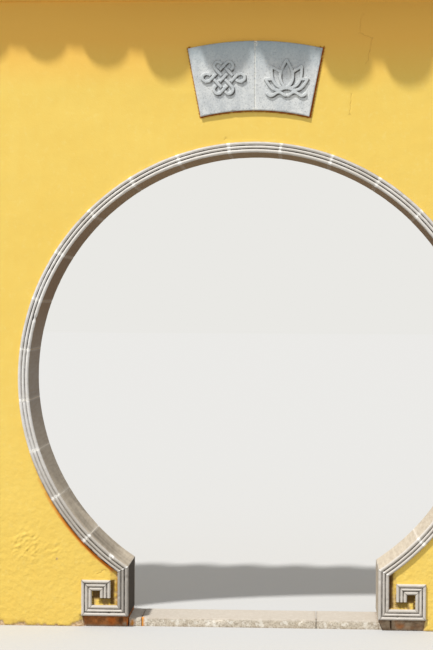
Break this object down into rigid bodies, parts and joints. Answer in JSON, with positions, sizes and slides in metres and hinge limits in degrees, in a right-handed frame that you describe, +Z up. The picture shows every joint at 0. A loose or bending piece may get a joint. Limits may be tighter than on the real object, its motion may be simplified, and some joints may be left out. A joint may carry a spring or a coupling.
{
  "type": "moon gate wall",
  "caption": "Plastered garden wall with a round stone-framed doorway, square scroll feet, low threshold, fan-shaped plaque and tiled coping.",
  "frame": {"origin": "on the ground, below the centre of the round opening, in the middle of the wall's thickness", "axes": "+Z up, +X along the wall to the right as seen from the front, -Y towards the viewer in front of the wall"},
  "size_m": [4.45, 0.774, 3.6713],
  "materials": {
    "plaster": "matte limewash over lime plaster on brick masonry",
    "ring_stone": "rubbed fine-grained grey facing stone",
    "mortar": "lime mortar",
    "footing": "rough mortar, stained",
    "threshold": "worn granite slabs",
    "plaque": "honed blue-grey stone",
    "eave": "limewashed moulded brick",
    "roof_tile": "unglazed grey clay tile",
    "ridge": "unglazed grey clay tile and mortar"
  },
  "bodies": {
    "root": {"wall_left": "plaster", "wall_right": "plaster", "wall_over_gate": "plaster", "ring_stone_01": "ring_stone", "ring_stone_02": "ring_stone", "ring_stone_03": "ring_stone", "ring_stone_04": "ring_stone", "ring_stone_05": "ring_stone", "ring_stone_06": "ring_stone", "ring_stone_07": "ring_stone", "ring_stone_08": "ring_stone", "ring_stone_09": "ring_stone", "ring_stone_10": "ring_stone", "ring_stone_11": "ring_stone", "ring_stone_12": "ring_stone", "ring_stone_13": "ring_stone", "ring_stone_14": "ring_stone", "ring_stone_15": "ring_stone", "ring_stone_16": "ring_stone", "ring_stone_17": "ring_stone", "ring_stone_18": "ring_stone", "ring_stone_19": "ring_stone", "ring_stone_20": "ring_stone", "ring_stone_21": "ring_stone", "ring_stone_22": "ring_stone", "ring_stone_23": "ring_stone", "jamb_left": "ring_stone", "jamb_right": "ring_stone", "scroll_front_left": "ring_stone", "scroll_front_right": "ring_stone", "scroll_back_left": "ring_stone", "scroll_back_right": "ring_stone", "ring_mortar": "mortar", "footing": "footing", "threshold_left": "threshold", "threshold_middle": "threshold", "threshold_right": "threshold", "plaque_left": "plaque", "plaque_right": "plaque", "eave_course_lower": "eave", "eave_course_upper": "eave", "roof_bed": "roof_tile", "pan_tiles_front": "roof_tile", "pan_tiles_back": "roof_tile", "cover_tiles_front": "roof_tile", "cover_tiles_back": "roof_tile", "ridge": "ridge"}
  },
  "joints": []
}
